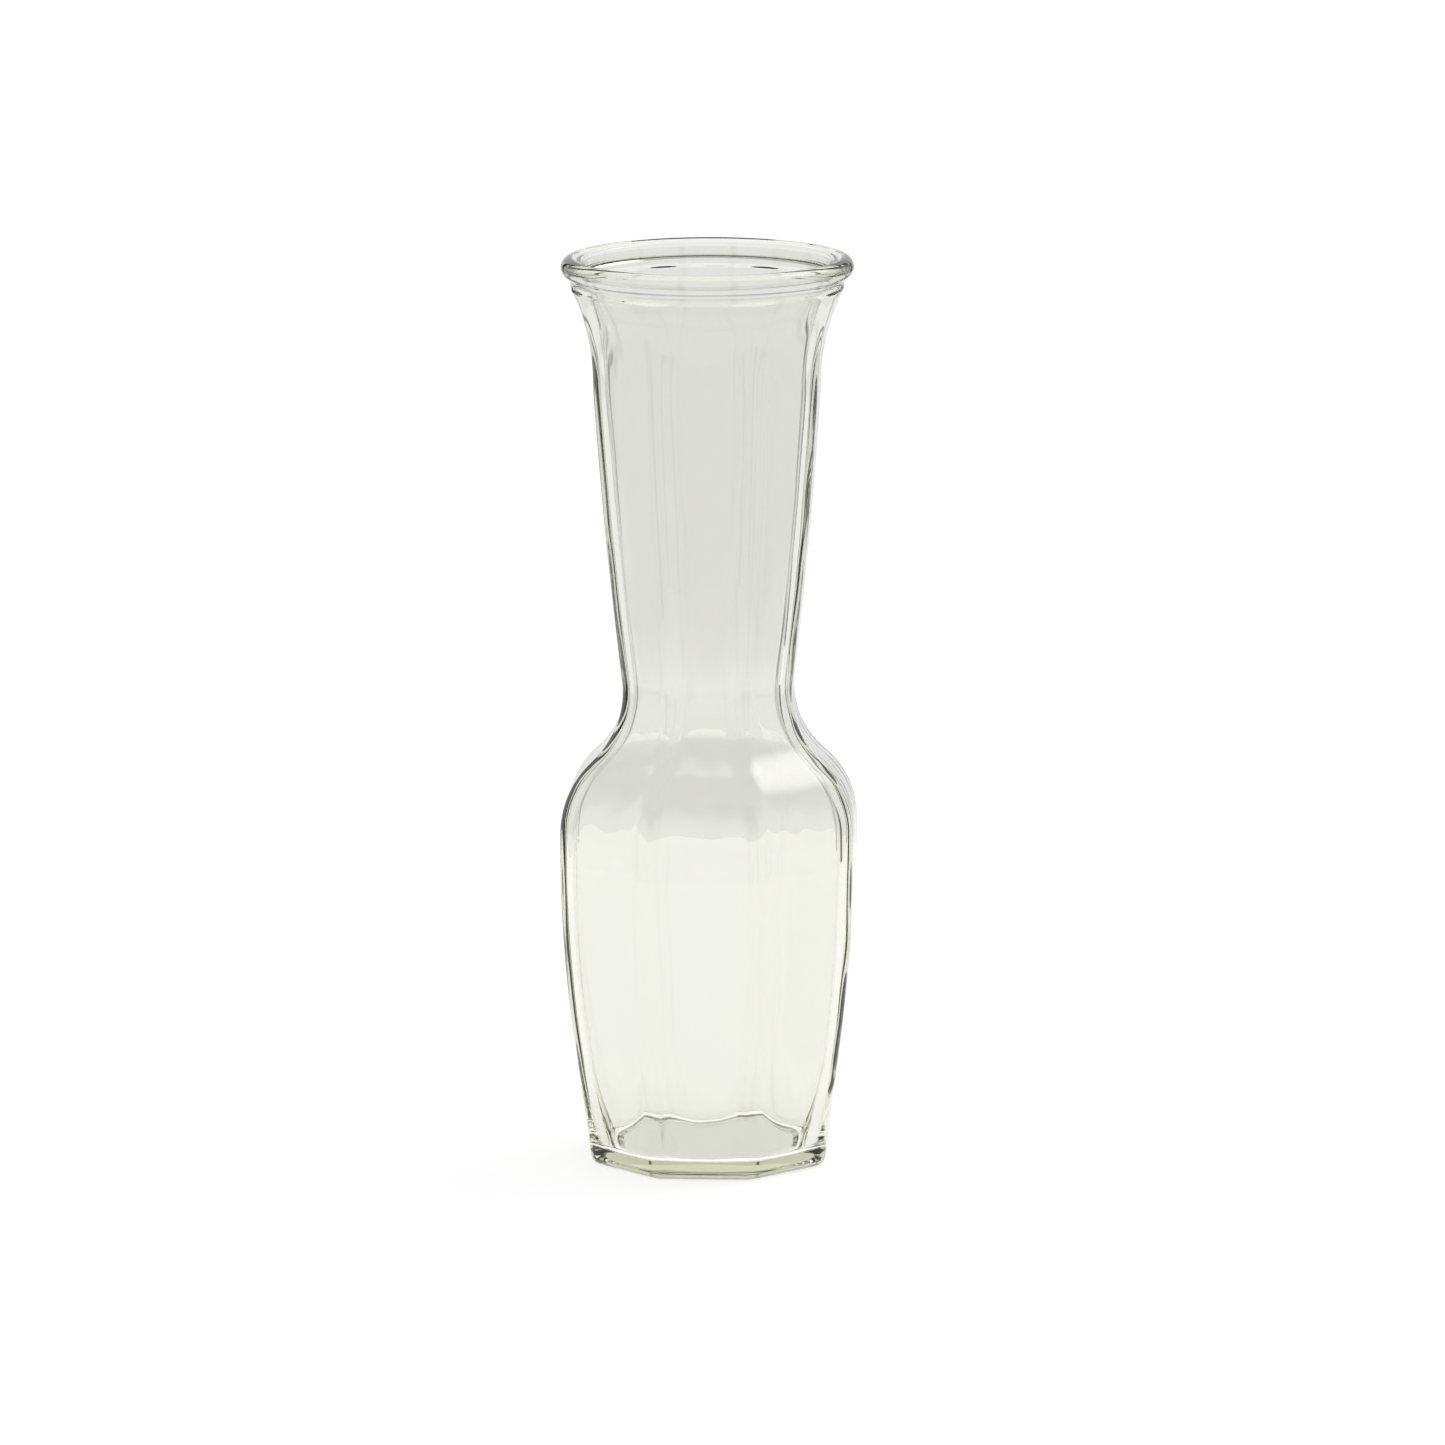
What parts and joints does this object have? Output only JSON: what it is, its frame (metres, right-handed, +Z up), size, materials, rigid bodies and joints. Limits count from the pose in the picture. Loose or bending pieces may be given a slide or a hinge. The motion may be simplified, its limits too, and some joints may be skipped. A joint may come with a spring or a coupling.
{
  "type": "glass bud vase",
  "caption": "Tall clear glass bud vase with an eight-sided body and tapering neck, sloping shoulders, a round flared mouth and a rolled lip.",
  "frame": {"origin": "centre of the foot, on the surface that the vase stands on", "axes": "+Z up along the vase's axis towards the mouth; -Y is the outward direction of one of the eight flat panels"},
  "size_m": [0.073, 0.073, 0.2286],
  "materials": {
    "clear_glass": "clear moulded soda-lime glass with a faint green-grey tint, fire-polished gloss, slight ripples and thicker panel edges"
  },
  "bodies": {
    "root": {"vase_glass": "clear_glass"}
  },
  "joints": []
}
